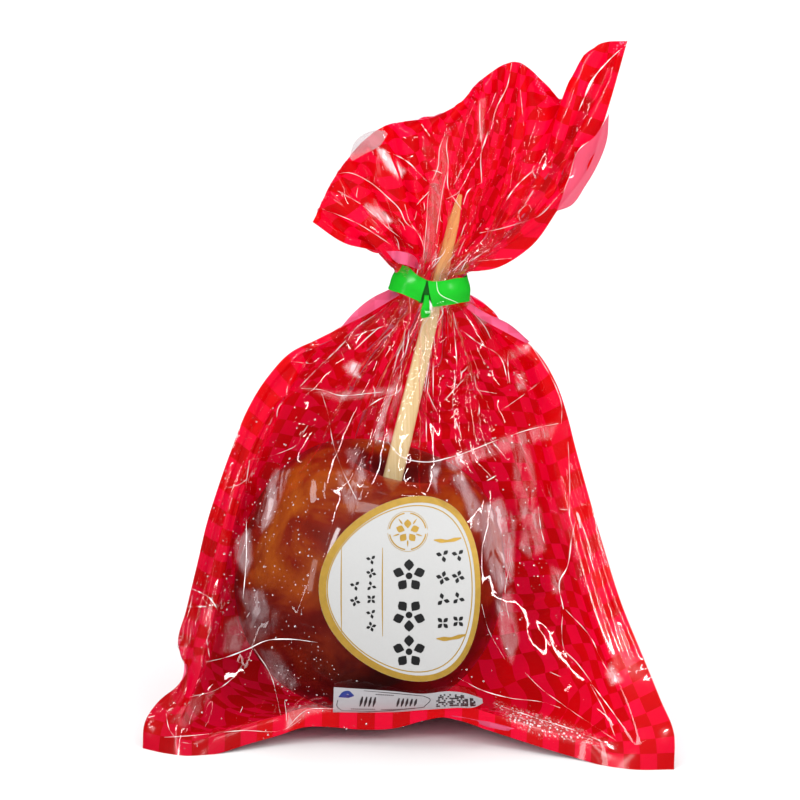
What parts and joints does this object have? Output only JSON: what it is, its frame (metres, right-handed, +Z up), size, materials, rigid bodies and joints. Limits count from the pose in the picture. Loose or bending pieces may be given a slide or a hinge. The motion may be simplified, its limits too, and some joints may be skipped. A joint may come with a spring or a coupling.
{
  "type": "toffee apple",
  "caption": "Toffee apple on a flat tapering wooden stick, standing in a clear and checked red film bag that a flat green ribbon ties above it.",
  "frame": {"origin": "on the ground, under the middle of the whole's box", "axes": "+Z up, +X to the right of someone who faces the clear front, +Y to the back"},
  "size_m": [0.1592, 0.1032, 0.209],
  "materials": {
    "toffee": "glassy dark amber sugar",
    "pale_wood": "bare, straight grain",
    "clear_film": "crisp glossy clear film",
    "checked_film": "glossy film printed in two reds",
    "ribbon": "smooth flat ribbon",
    "paper": "coated paper with gold and black print"
  },
  "bodies": {
    "root": {"apple": "toffee", "stick": "pale_wood", "bag_front": "clear_film", "bag_back": "checked_film", "tie": "ribbon", "label": "paper", "sticker": "paper"}
  },
  "joints": []
}
